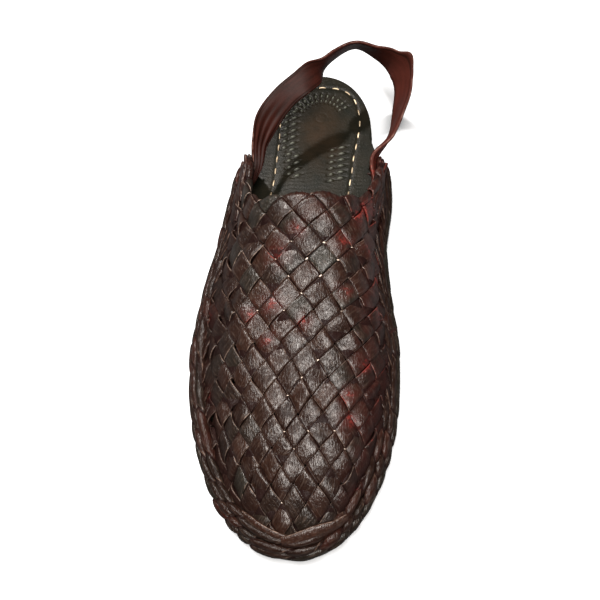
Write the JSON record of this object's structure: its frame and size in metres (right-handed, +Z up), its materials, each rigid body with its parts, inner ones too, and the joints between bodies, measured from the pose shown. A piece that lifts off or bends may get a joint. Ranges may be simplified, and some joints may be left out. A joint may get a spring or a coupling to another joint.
{
  "type": "woven leather slingback mule",
  "caption": "Closed-toe slingback mule with a diagonally woven leather upper, a roped sole edge, a thin flat leather sole and a slack leather strap behind the heel.",
  "frame": {"origin": "middle of the shoe's bounding box, on the floor plane under the heel and ball", "axes": "+Y from the toe to the heel, +X to the big-toe side, +Z up; the shoe stands on its sole"},
  "size_m": [0.1054, 0.2594, 0.0566],
  "materials": {
    "outsole_leather": "dark brown sole leather, matt cut edge",
    "insole_leather": "dark olive-brown grained leather, low sheen",
    "woven_leather": "dark brown waxed strips, glossy crowns, red rubbed edges",
    "edge_leather": "dark brown waxed strip ends",
    "strap_leather": "oxblood leather, semi-matt"
  },
  "bodies": {
    "root": {"outsole": "outsole_leather", "insole": "insole_leather", "upper": "woven_leather", "edge_braid": "edge_leather", "heel_strap": "strap_leather"}
  },
  "joints": []
}
